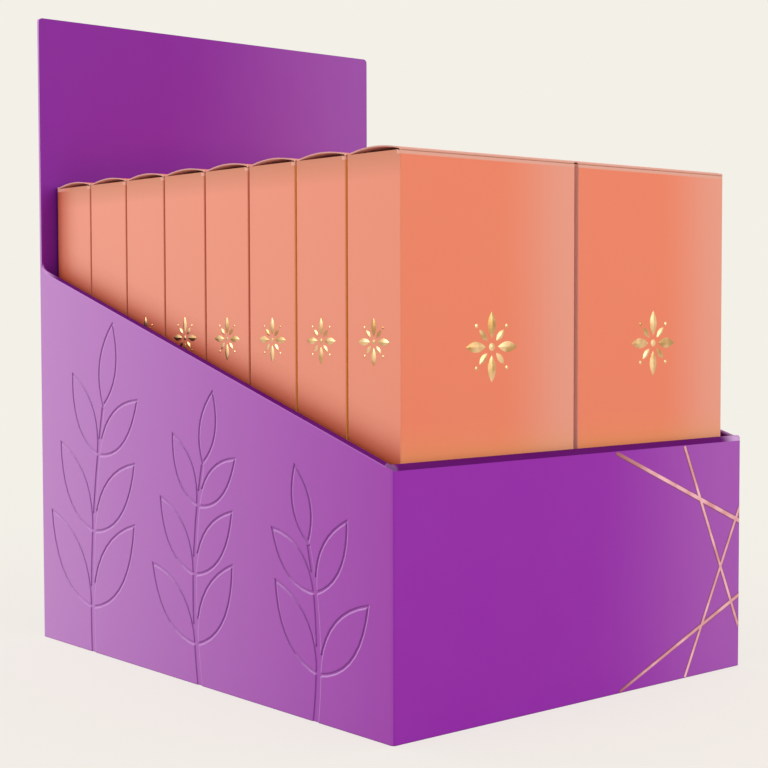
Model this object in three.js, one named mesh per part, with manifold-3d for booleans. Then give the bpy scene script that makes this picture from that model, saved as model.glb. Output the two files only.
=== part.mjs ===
// Counter display box: a folded board tray with sloping sides and a tall header, holding two columns of
// slim tuck-top cartons. Millimetres, +Z up. The origin is the middle of the base: the customer stands at
// -Y, the header is at +Y, and the carton lids hinge along their front top edges.

import * as THREE from "three";
import { mergeVertices } from "three/addons/utils/BufferGeometryUtils.js";
import Module from "manifold-3d";

const wasm = await Module();
wasm.setup();

// Cartons
const CARTON_WIDTH = 90.9;
const CARTON_DEPTH = 30.2;
const CARTON_HEIGHT = 210.4; // to the top of the side panels, where the dust flaps fold in
const CARTON_BOARD = 0.5;
const CARTON_CORNER_R = 0.6;
const COLUMNS = 2;
const ROWS = 8;
const COLUMN_GAP = 2.16;
const ROW_GAP = 0.9;

// Lids and dust flaps
const FOLD_R = 0.5; // outside radius of the fold that the lid hinges on
const FOLD_CLEARANCE = 0.05; // between that fold and the front panel's top edge
const LID_CLEARANCE = 0.3; // lid to dust flaps, rear panel and side panels
const LID_BOW = 1.5;
const BOW_STEPS = 8;
const TUCK_DROP = 13;
const TUCK_FOLD_R = 1.4;
const TUCK_CORNER_R = 8;
const TUCK_CORNER_STEPS = 4;
const DUST_FLAP_LENGTH = 28;
const DUST_FLAP_RELIEF = 1.2; // between a dust flap and the front panel
const DUST_FLAP_TAPER = 4;
const LID_OPEN_CLEARANCE = 0.3; // dust flap to the inside of the swinging tuck

// Display tray
const SIDE_WALL = 2.45;
const FRONT_WALL = 4.4;
const HEADER_BOARD = 2.6;
const FLOOR_BOARD = 2.6;
const FRONT_HEIGHT = 98.6; // to the foot of the rolled rim, as is the next
const SIDE_BACK_HEIGHT = 173.8;
const HEADER_HEIGHT = 292.7;
const SIDE_ROOM = 5.57; // tray side to the nearest carton
const FRONT_ROOM = 0.33;
const BACK_ROOM = 1.17;
const TRAY_CORNER_R = 1.4;
const HEADER_CORNER_R = 2;
const FILLET_STEPS = 6;
const SLOPE_FILLET = 5; // where the slope turns up into the header's edge

// Crash-lock bottom, seen from below as flaps that overlap
const FLAP_STEP = 0.8;
const FLAP_SEAM = 1.2;

// How far a cutter reaches past what it cuts
const CUT_MARGIN = 1;

// Debossed branches on the two sides
const DEBOSS_DEPTH = 0.45;
const DEBOSS_LINE = 2;
const DRAWING_GRID = 10; // the branches are placed on a grid of this pitch
const LEAF_STEPS = 9;
const LEAF_BREADTH = 0.38; // how far a leaf's curves reach out, as a share of its length
const LEAF_SPREAD = 0.72; // radians from the stem
const LEAF_SHRINK = 0.35; // from the foot of a branch to its tip
const FIRST_PAIR = 0.75; // of the spacing between pairs

// Worked-out sizes
const cartonsWide = COLUMNS * CARTON_WIDTH + (COLUMNS - 1) * COLUMN_GAP;
const cartonsDeep = ROWS * CARTON_DEPTH + (ROWS - 1) * ROW_GAP;
const trayWidth = cartonsWide + 2 * (SIDE_ROOM + SIDE_WALL);
const trayDepth = FRONT_WALL + FRONT_ROOM + cartonsDeep + BACK_ROOM + HEADER_BOARD;
const left = -trayWidth / 2;
const front = -trayDepth / 2;
const back = trayDepth / 2;
const headerFace = back - HEADER_BOARD;

const purpleBoard = new THREE.MeshStandardMaterial({ color: 0x98309f, roughness: 0.45, metalness: 0 });
const coralBoard = new THREE.MeshStandardMaterial({ color: 0xee866a, roughness: 0.5, metalness: 0 });

// Solids and geometries

function toSolid(geometry) {
  geometry.deleteAttribute("normal");
  geometry.deleteAttribute("uv");
  const merged = mergeVertices(geometry, 1e-4);
  return new wasm.Manifold(
    new wasm.Mesh({
      numProp: 3,
      vertProperties: new Float32Array(merged.attributes.position.array),
      triVerts: new Uint32Array(merged.index.array),
    }),
  );
}

function toGeometry(solid) {
  const mesh = solid.getMesh();
  const geometry = new THREE.BufferGeometry();
  geometry.setAttribute("position", new THREE.BufferAttribute(mesh.vertProperties, 3));
  geometry.setIndex(new THREE.BufferAttribute(mesh.triVerts, 1));
  geometry.computeVertexNormals();
  return geometry;
}

function join(solids) {
  return solids.reduce((whole, piece) => whole.add(piece));
}

function extrude(shape, depth, curveSegments = 6) {
  return new THREE.ExtrudeGeometry(shape, { depth, bevelEnabled: false, curveSegments });
}

// A shape drawn in plan, raised from z0 to z1
function planSolid(shape, z0, z1, curveSegments) {
  return toSolid(extrude(shape, z1 - z0, curveSegments).translate(0, 0, z0));
}

// A shape drawn as seen from the side (shape x is Y, shape y is Z), from x0 to x1
function sideSolid(shape, x0, x1, curveSegments) {
  const turn = new THREE.Matrix4().makeBasis(
    new THREE.Vector3(0, 1, 0),
    new THREE.Vector3(0, 0, 1),
    new THREE.Vector3(1, 0, 0),
  );
  return toSolid(extrude(shape, x1 - x0, curveSegments).applyMatrix4(turn).translate(x0, 0, 0));
}

// A shape drawn as seen from the front (shape x is X, shape y is Z), from y0 back to y1
function frontSolid(shape, y0, y1, curveSegments) {
  const turn = new THREE.Matrix4().makeBasis(
    new THREE.Vector3(1, 0, 0),
    new THREE.Vector3(0, 0, 1),
    new THREE.Vector3(0, -1, 0),
  );
  return toSolid(extrude(shape, y1 - y0, curveSegments).applyMatrix4(turn).translate(0, y1, 0));
}

function polygon(points) {
  return new THREE.Shape(points.map(([x, y]) => new THREE.Vector2(x, y)));
}

function roundedRectangle(x0, y0, x1, y1, r) {
  const shape = new THREE.Shape();
  shape.moveTo(x0 + r, y0);
  shape.lineTo(x1 - r, y0);
  shape.absarc(x1 - r, y0 + r, r, -Math.PI / 2, 0);
  shape.lineTo(x1, y1 - r);
  shape.absarc(x1 - r, y1 - r, r, 0, Math.PI / 2);
  shape.lineTo(x0 + r, y1);
  shape.absarc(x0 + r, y1 - r, r, Math.PI / 2, Math.PI);
  shape.lineTo(x0, y0 + r);
  shape.absarc(x0 + r, y0 + r, r, Math.PI, 1.5 * Math.PI);
  return shape;
}

// Display tray

// The rolled rim's centre line: up the slope, round a fillet and up the header's edge
function rimPath() {
  const rise = (SIDE_BACK_HEIGHT - FRONT_HEIGHT) / (headerFace - front);
  const onSlope = (y) => new THREE.Vector2(y, FRONT_HEIGHT + rise * (y - front));
  const edgeY = headerFace + SIDE_WALL / 2;
  const corner = onSlope(edgeY);
  return {
    before: onSlope(front - SIDE_WALL),
    start: onSlope(front),
    beforeFillet: onSlope(edgeY - SLOPE_FILLET),
    corner,
    afterFillet: corner.clone().add(new THREE.Vector2(0, SLOPE_FILLET)),
  };
}

function sideWallOutline() {
  const rim = rimPath();
  const shape = new THREE.Shape();
  shape.moveTo(front, 0);
  shape.lineTo(back, 0);
  shape.lineTo(back, rim.afterFillet.y);
  shape.lineTo(rim.afterFillet.x, rim.afterFillet.y);
  shape.quadraticCurveTo(rim.corner.x, rim.corner.y, rim.beforeFillet.x, rim.beforeFillet.y);
  shape.lineTo(rim.start.x, rim.start.y);
  return shape;
}

function rolledSideRim(x) {
  const rim = rimPath();
  const fillet = new THREE.QuadraticBezierCurve(rim.beforeFillet, rim.corner, rim.afterFillet);
  const centreLine = [rim.before, ...fillet.getPoints(FILLET_STEPS)];
  const stations = centreLine.map((p) => new THREE.Vector3(x, p.x, p.y));
  return beadAlong(stations, SIDE_WALL / 2);
}

// A round bead whose centre follows straight stretches in the plane of a side
function beadAlong(stations, radius, sides = 12) {
  const rings = stations.map((point, i) => {
    const before = stations[Math.max(i - 1, 0)];
    const after = stations[Math.min(i + 1, stations.length - 1)];
    const along = after.clone().sub(before).normalize();
    const across = new THREE.Vector3(1, 0, 0);
    const up = new THREE.Vector3().crossVectors(across, along);
    return Array.from({ length: sides }, (_, k) => {
      const angle = (2 * Math.PI * k) / sides;
      return point
        .clone()
        .addScaledVector(across, radius * Math.cos(angle))
        .addScaledVector(up, radius * Math.sin(angle));
    });
  });
  const positions = [...rings.flat(), stations[0], stations.at(-1)];
  const triangles = [];
  const startCap = positions.length - 2;
  const endCap = positions.length - 1;
  for (let k = 0; k < sides; k++) {
    const next = (k + 1) % sides;
    for (let i = 0; i + 1 < rings.length; i++) {
      const a = i * sides + k;
      const b = i * sides + next;
      triangles.push(a, a + sides, b, b, a + sides, b + sides);
    }
    triangles.push(startCap, k, next);
    triangles.push(endCap, (rings.length - 1) * sides + next, (rings.length - 1) * sides + k);
  }
  return new wasm.Manifold(
    new wasm.Mesh({
      numProp: 3,
      vertProperties: new Float32Array(positions.flatMap((p) => p.toArray())),
      triVerts: new Uint32Array(triangles),
    }),
  );
}

function frontWallSection() {
  const r = FRONT_WALL / 2;
  const shape = new THREE.Shape();
  shape.moveTo(front, 0);
  shape.lineTo(front + FRONT_WALL, 0);
  shape.lineTo(front + FRONT_WALL, FRONT_HEIGHT);
  shape.absarc(front + r, FRONT_HEIGHT, r, 0, Math.PI);
  return shape;
}

function crashLockSeams() {
  const halfWidth = trayWidth / 2;
  const zigzag = [
    [left + SIDE_WALL, back - halfWidth],
    [-halfWidth / 3, 0],
    [halfWidth / 3, 0],
    [-left - SIDE_WALL, back - halfWidth],
  ];
  const seams = [];
  for (let i = 0; i + 1 < zigzag.length; i++) {
    seams.push(seam(zigzag[i], zigzag[i + 1]));
  }
  seams.push(seam([left + SIDE_WALL, front + halfWidth], [-halfWidth / 3, 0]));
  seams.push(seam([-left - SIDE_WALL, front + halfWidth], [halfWidth / 3, 0]));
  return join(seams);
}

function seam([x0, y0], [x1, y1]) {
  const along = new THREE.Vector2(x1 - x0, y1 - y0).normalize();
  const side = new THREE.Vector2(-along.y, along.x).multiplyScalar(FLAP_SEAM / 2);
  const reach = along.multiplyScalar(FLAP_SEAM / 2);
  const outline = polygon([
    [x0 - reach.x - side.x, y0 - reach.y - side.y],
    [x1 + reach.x - side.x, y1 + reach.y - side.y],
    [x1 + reach.x + side.x, y1 + reach.y + side.y],
    [x0 - reach.x + side.x, y0 - reach.y + side.y],
  ]);
  return planSolid(outline, -FLAP_STEP, FLAP_STEP);
}

// Branches are drawn as seen from the side: u runs back from the front edge, z runs up

function leafLoop(base, angle, length, width, inset) {
  const along = new THREE.Vector2(Math.cos(angle), Math.sin(angle));
  const across = new THREE.Vector2(-along.y, along.x);
  const tip = base.clone().addScaledVector(along, length - inset);
  const start = base.clone().addScaledVector(along, inset);
  const middle = base.clone().addScaledVector(along, 0.46 * length);
  const reach = width - inset * 1.15;
  const leftSide = middle.clone().addScaledVector(across, reach);
  const rightSide = middle.clone().addScaledVector(across, -reach);
  const out = new THREE.QuadraticBezierCurve(start, rightSide, tip).getPoints(LEAF_STEPS);
  const home = new THREE.QuadraticBezierCurve(tip, leftSide, start).getPoints(LEAF_STEPS);
  return [...out.slice(0, -1), ...home.slice(0, -1)];
}

function leafLine(base, angle, length, width) {
  const shape = new THREE.Shape(leafLoop(base, angle, length, width, 0));
  shape.holes.push(new THREE.Path(leafLoop(base, angle, length, width, DEBOSS_LINE)));
  return shape;
}

function stemLine(points, thick, thin) {
  const curve = new THREE.QuadraticBezierCurve(...points);
  const steps = 8;
  const one = [];
  const other = [];
  for (let i = 0; i <= steps; i++) {
    const t = i / steps;
    const along = curve.getTangent(t);
    const across = new THREE.Vector2(-along.y, along.x);
    const half = THREE.MathUtils.lerp(thick, thin, t) / 2;
    one.push(curve.getPoint(t).addScaledVector(across, -half));
    other.push(curve.getPoint(t).addScaledVector(across, half));
  }
  return new THREE.Shape([...one, ...other.reverse()]);
}

// One laurel-like branch: a bent stem with leaves in pairs that get smaller upwards, and one at the tip
function branch({ foot, bend, tip, pairs, leaf }) {
  const points = [foot, bend, tip].map(([u, z]) => new THREE.Vector2(u, z).multiplyScalar(DRAWING_GRID));
  const curve = new THREE.QuadraticBezierCurve(...points);
  const lines = [stemLine(points, 1.8 * DEBOSS_LINE, DEBOSS_LINE)];
  for (let i = 0; i < pairs; i++) {
    const t = (i + FIRST_PAIR) / (pairs + FIRST_PAIR / 2);
    const at = curve.getPoint(t);
    const along = curve.getTangent(t);
    const heading = Math.atan2(along.y, along.x);
    const size = leaf * DRAWING_GRID * (1 - LEAF_SHRINK * t);
    lines.push(leafLine(at, heading + LEAF_SPREAD, size, LEAF_BREADTH * size));
    lines.push(leafLine(at, heading - LEAF_SPREAD, size, LEAF_BREADTH * size));
  }
  const along = curve.getTangent(1);
  const last = leaf * DRAWING_GRID * (1 - LEAF_SHRINK);
  lines.push(leafLine(points[2], Math.atan2(along.y, along.x), last, LEAF_BREADTH * last));
  return lines;
}

// Places in grid squares; leaf is the length of the lowest leaves, also in squares
const BRANCHES = [
  { foot: [4.6, -0.6], bend: [3.9, 3.2], tip: [4.9, 6.7], pairs: 2, leaf: 4.9 },
  { foot: [12.2, -0.6], bend: [13.2, 4.4], tip: [12.0, 9.2], pairs: 3, leaf: 5.0 },
  { foot: [20.9, -0.6], bend: [21.3, 5.2], tip: [19.9, 11.2], pairs: 3, leaf: 6.1 },
];

function debossCutter(x0, x1) {
  const lines = BRANCHES.flatMap(branch);
  const cutter = join(lines.map((shape) => sideSolid(shape, x0, x1, LEAF_STEPS)));
  return cutter.translate([0, front, 0]);
}

function makeTray() {
  const envelope = planSolid(
    roundedRectangle(left, front, -left, back, TRAY_CORNER_R),
    0,
    HEADER_HEIGHT,
    2,
  ).intersect(
    frontSolid(
      roundedRectangle(left, -2 * HEADER_CORNER_R, -left, HEADER_HEIGHT, HEADER_CORNER_R),
      front - CUT_MARGIN,
      back + CUT_MARGIN,
      3,
    ),
  );
  const outline = sideWallOutline();
  const pieces = [
    sideSolid(outline, left, left + SIDE_WALL),
    sideSolid(outline, -left - SIDE_WALL, -left),
    rolledSideRim(left + SIDE_WALL / 2),
    rolledSideRim(-left - SIDE_WALL / 2),
    sideSolid(frontWallSection(), left, -left, 8),
    planSolid(polygon([[left, headerFace], [-left, headerFace], [-left, back], [left, back]]), 0, HEADER_HEIGHT),
    planSolid(polygon([[left, front], [-left, front], [-left, back], [left, back]]), 0, FLOOR_BOARD),
  ];
  return join(pieces)
    .intersect(envelope)
    .subtract(crashLockSeams())
    .subtract(debossCutter(left - CUT_MARGIN, left + DEBOSS_DEPTH))
    .subtract(debossCutter(-left - DEBOSS_DEPTH, -left + CUT_MARGIN));
}

// Cartons: each is drawn with its base centre at the origin

const hingeY = -CARTON_DEPTH / 2 + FOLD_R;
const hingeZ = CARTON_HEIGHT + LID_CLEARANCE;
const frontPanelTop = hingeZ - FOLD_R - FOLD_CLEARANCE;
const lidReach = CARTON_DEPTH / 2 - CARTON_BOARD - LID_CLEARANCE - hingeY; // hinge to the tuck's outside

function dustFlap(side) {
  const wall = CARTON_WIDTH / 2;
  const y0 = -CARTON_DEPTH / 2 + CARTON_BOARD + DUST_FLAP_RELIEF;
  const y1 = hingeY + lidReach - TUCK_FOLD_R - LID_OPEN_CLEARANCE;
  const end = wall - DUST_FLAP_LENGTH;
  const outline = polygon([
    [side * (wall - CARTON_BOARD / 2), y0],
    [side * (wall - CARTON_BOARD / 2), y1],
    [side * (end + DUST_FLAP_TAPER), y1],
    [side * end, y1 - DUST_FLAP_TAPER],
    [side * end, y0 + DUST_FLAP_TAPER],
    [side * (end + DUST_FLAP_TAPER), y0],
  ]);
  return planSolid(outline, CARTON_HEIGHT - CARTON_BOARD, CARTON_HEIGHT);
}

function makeSleeve() {
  const x = CARTON_WIDTH / 2;
  const y = CARTON_DEPTH / 2;
  const t = CARTON_BOARD;
  const wide = x + CUT_MARGIN;
  const foldBack = hingeY + FOLD_R + LID_CLEARANCE;
  const ring = roundedRectangle(-x, -y, x, y, CARTON_CORNER_R);
  ring.holes.push(polygon([[-x + t, -y + t], [-x + t, y - t], [x - t, y - t], [x - t, -y + t]]));
  const tube = planSolid(ring, 0, hingeZ + CARTON_BOARD, 2);
  const openTop = planSolid(
    polygon([[-wide, -y + t], [wide, -y + t], [wide, y - t], [-wide, y - t]]),
    CARTON_HEIGHT,
    hingeZ + 2 * t,
  );
  const lidSeat = planSolid(
    polygon([[-wide, -y - CUT_MARGIN], [wide, -y - CUT_MARGIN], [wide, foldBack], [-wide, foldBack]]),
    frontPanelTop,
    hingeZ + 2 * t,
  );
  const bottom = planSolid(
    polygon([[-x + t / 2, -y + t / 2], [x - t / 2, -y + t / 2], [x - t / 2, y - t / 2], [-x + t / 2, y - t / 2]]),
    0,
    2 * t,
  );
  return join([tube.subtract(openTop).subtract(lidSeat), bottom, dustFlap(-1), dustFlap(1)]);
}

// Points on an arc drawn as seen from the side, from one angle to another
function arcPoints(centreY, centreZ, radius, from, to, steps) {
  return Array.from({ length: steps + 1 }, (_, i) => {
    const angle = THREE.MathUtils.lerp(from, to, i / steps);
    return new THREE.Vector2(centreY + radius * Math.cos(angle), centreZ + radius * Math.sin(angle));
  });
}

// The lid is one bent strip: fold, bowed panel, rounded tuck fold, and a tuck curved about the hinge
function lidSection() {
  const t = CARTON_BOARD;
  const underside = FOLD_R - t;
  const cornerY = lidReach - TUCK_FOLD_R;
  const cornerZ = FOLD_R - TUCK_FOLD_R;
  const peak = new THREE.Vector2(cornerY / 2, 2 * LID_BOW);
  const outer = new THREE.QuadraticBezierCurve(
    new THREE.Vector2(0, FOLD_R),
    peak.clone().add(new THREE.Vector2(0, FOLD_R)),
    new THREE.Vector2(cornerY, FOLD_R),
  ).getPoints(BOW_STEPS);
  const inner = new THREE.QuadraticBezierCurve(
    new THREE.Vector2(FOLD_R, underside + (4 * LID_BOW * FOLD_R) / lidReach),
    peak.clone().add(new THREE.Vector2(0, underside)),
    new THREE.Vector2(cornerY, underside),
  ).getPoints(BOW_STEPS);
  const outerCorner = arcPoints(cornerY, cornerZ, TUCK_FOLD_R, Math.PI / 2, 0, 4);
  const innerCorner = arcPoints(cornerY, cornerZ, TUCK_FOLD_R - t, Math.PI / 2, 0, 4);
  const tuckStart = Math.asin(cornerZ / lidReach);
  const tuckEnd = -Math.asin(TUCK_DROP / lidReach);
  const tuckOuter = arcPoints(0, 0, lidReach, tuckStart, tuckEnd, 5);
  const tuckInner = arcPoints(0, 0, lidReach - t, tuckStart, tuckEnd, 5);
  const fold = arcPoints(0, 0, FOLD_R, Math.PI / 2, 2 * Math.PI, 6);
  return new THREE.Shape([
    ...outer.slice(0, -1),
    ...outerCorner,
    ...tuckOuter.slice(1),
    ...tuckInner.slice(1).reverse(),
    ...innerCorner.reverse(),
    ...inner.slice(0, -1).reverse(),
    ...fold.slice(1).reverse(),
  ]);
}

function makeLid() {
  const half = CARTON_WIDTH / 2 - LID_CLEARANCE;
  const insideHalf = CARTON_WIDTH / 2 - CARTON_BOARD - LID_CLEARANCE;
  const strip = sideSolid(lidSection(), -half, half);
  const wide = half + CUT_MARGIN;
  const high = FOLD_R + LID_BOW + CUT_MARGIN;
  const low = -TUCK_DROP - CUT_MARGIN;
  const shoulder = -LID_CLEARANCE / 2;
  const cornerX = insideHalf - TUCK_CORNER_R;
  const seen = new THREE.Shape();
  seen.moveTo(-wide, high);
  seen.lineTo(-wide, shoulder);
  seen.lineTo(-insideHalf, shoulder);
  seen.lineTo(-insideHalf, -TUCK_DROP + TUCK_CORNER_R);
  seen.quadraticCurveTo(-insideHalf, -TUCK_DROP, -cornerX, -TUCK_DROP);
  seen.lineTo(-cornerX, low);
  seen.lineTo(cornerX, low);
  seen.lineTo(cornerX, -TUCK_DROP);
  seen.quadraticCurveTo(insideHalf, -TUCK_DROP, insideHalf, -TUCK_DROP + TUCK_CORNER_R);
  seen.lineTo(insideHalf, shoulder);
  seen.lineTo(wide, shoulder);
  seen.lineTo(wide, high);
  const behindFold = 2 * FOLD_R;
  const keepTuck = frontSolid(seen, behindFold, lidReach + CUT_MARGIN, TUCK_CORNER_STEPS);
  const keepFold = frontSolid(
    polygon([[-wide, -2 * FOLD_R], [wide, -2 * FOLD_R], [wide, high], [-wide, high]]),
    -2 * FOLD_R,
    behindFold,
  );
  return strip.intersect(join([keepTuck, keepFold]));
}

// Assembly

const display = new THREE.Group();

const tray = new THREE.Mesh(toGeometry(makeTray()), purpleBoard);
tray.name = "display_tray";
display.add(tray);

const sleeveGeometry = toGeometry(makeSleeve());
const lidGeometry = toGeometry(makeLid());
const columnNames = ["left", "right"];

for (let column = 0; column < COLUMNS; column++) {
  for (let row = 0; row < ROWS; row++) {
    const carton = new THREE.Group();
    carton.position.set(
      left + SIDE_WALL + SIDE_ROOM + CARTON_WIDTH / 2 + column * (CARTON_WIDTH + COLUMN_GAP),
      front + FRONT_WALL + FRONT_ROOM + CARTON_DEPTH / 2 + row * (CARTON_DEPTH + ROW_GAP),
      FLOOR_BOARD,
    );
    const place = `${columnNames[column]}_${row + 1}`;
    const sleeve = new THREE.Mesh(sleeveGeometry, coralBoard);
    sleeve.name = `carton_${place}`;
    carton.add(sleeve);
    const lid = new THREE.Mesh(lidGeometry, coralBoard);
    lid.name = `lid_${place}`;
    lid.position.set(0, hingeY, hingeZ);
    carton.add(lid);
    display.add(carton);
  }
}

export default display;
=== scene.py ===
import math

import bmesh
import bpy
from mathutils import Matrix, Vector


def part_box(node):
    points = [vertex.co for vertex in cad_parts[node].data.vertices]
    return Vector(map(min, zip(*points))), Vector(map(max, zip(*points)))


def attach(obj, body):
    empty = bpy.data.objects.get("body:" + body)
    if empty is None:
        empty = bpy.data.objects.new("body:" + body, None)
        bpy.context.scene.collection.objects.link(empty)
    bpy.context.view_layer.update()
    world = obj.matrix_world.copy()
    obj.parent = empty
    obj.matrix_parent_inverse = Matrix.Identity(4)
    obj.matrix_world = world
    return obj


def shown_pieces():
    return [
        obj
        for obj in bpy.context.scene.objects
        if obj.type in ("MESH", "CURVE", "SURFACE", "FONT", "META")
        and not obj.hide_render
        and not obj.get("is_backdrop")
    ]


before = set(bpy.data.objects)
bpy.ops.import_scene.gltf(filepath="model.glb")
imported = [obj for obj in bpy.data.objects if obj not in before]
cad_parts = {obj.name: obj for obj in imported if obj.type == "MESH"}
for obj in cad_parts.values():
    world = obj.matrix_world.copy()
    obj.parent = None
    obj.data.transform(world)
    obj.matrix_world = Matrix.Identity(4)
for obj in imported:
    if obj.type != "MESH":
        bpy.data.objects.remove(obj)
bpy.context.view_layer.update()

scene = bpy.context.scene
mm = 0.001

# Display tray
# One folded and glued blank of fine-flute board, faced with printed and satin-coated paper. The branches
# on its sides are pressed in before gluing, and the board is rolled over at the rims. The print with its
# painted sheen, the painted light on the pressed lines' lips and the rims' painted shade go on the modelled
# solid.

tray_low, tray_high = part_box("display_tray")
front_rim_foot = 98.6 * mm
back_rim_foot = 173.8 * mm
front_wall = 4.4 * mm
header_board = 2.6 * mm
rim_height = 2.6 * mm
corner_radius = 1.4 * mm
press_depth = 0.45 * mm


def linear(hex_colour):
    """An sRGB hex colour as the linear RGBA that a node takes."""
    channels = [int(hex_colour[i : i + 2], 16) / 255 for i in (1, 3, 5)]
    return [c / 12.92 if c <= 0.04045 else ((c + 0.055) / 1.055) ** 2.4 for c in channels] + [1.0]


def add(tree, kind, settings=None, inputs=None):
    """Adds one node, sets it up, gives each input a value or a link, and returns its outputs."""
    node = tree.nodes.new(kind)
    for name, value in (settings or {}).items():
        setattr(node, name, value)
    for key, value in (inputs or {}).items():
        if isinstance(value, bpy.types.NodeSocket):
            tree.links.new(value, node.inputs[key])
        else:
            node.inputs[key].default_value = value
    return node.outputs


def new_material(name):
    material = bpy.data.materials.new(name)
    material.use_nodes = True
    material.node_tree.nodes.clear()
    return material, material.node_tree


# A Mix node repeats its names for each kind of value, so its colour sockets go by number
SHARE, FIRST, SECOND, MIXED = 0, 6, 7, 2
COLOUR = {"data_type": "RGBA"}
TIMES = {"operation": "MULTIPLY"}
TIMES_PLUS = {"operation": "MULTIPLY_ADD"}
LESS = {"operation": "SUBTRACT"}
OVER = {"operation": "GREATER_THAN"}
UNDER = {"operation": "LESS_THAN"}
SIZE_OF = {"operation": "ABSOLUTE"}
DOT = {"operation": "DOT_PRODUCT"}
LARGER = {"operation": "MAXIMUM"}
EASED = {"interpolation_type": "SMOOTHSTEP"}

SIDE_FRONT = linear("#A246AE")
SIDE_BACK = linear("#C088C8")
FACE_LEFT = linear("#9622AA")
FACE_RIGHT = linear("#A855B4")
HEADER_LEFT = linear("#8A1AA2")
HEADER_RIGHT = linear("#A050B2")
LIT_LIP_PAINTED_HIGHLIGHT = linear("#E4B8EA")
DIM_LIP_PAINTED_LIGHT = linear("#C06CD4")
RIM_PAINTED_SHADE = linear("#5E0066")
LIT_RIM_END = linear("#D4A8DA")
PAINTED_SHADE_PURPLE = linear("#620086")
BARE_LINER = linear("#D2C2AC")
PAPER_LIGHT = linear("#C08CC8")

fibre_size = 0.9 * mm
flute_pitch = 1.6 * mm
mottle_size = 38 * mm
fold_softness = 0.8 * mm
shelter_reach = 30 * mm
header_fade_start = -0.35
rim_edge = 0.35 * mm
rim_start_fade = 16 * mm
pale_end_from, pale_end_to = 0.86, 0.97
pale_corner_from, pale_corner_to = -0.965, -0.99
pale_corner_share = 0.2
square_on = 0.7
lip_light = (0.0, 0.7, 0.7)
least_lean, full_lean = 0.04, 0.45
lit_lip_share, dim_lip_share = 0.7, 0.4
mottle_strength = 0.05
tooth_height, rib_height = 0.5, 0.1
relief_strength = 0.12
relief_depth = 0.05 * mm
satin_roughness = 0.42
roughness_spread = 0.12
coat_ior = 1.25
rim_ior_change = -0.18
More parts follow.
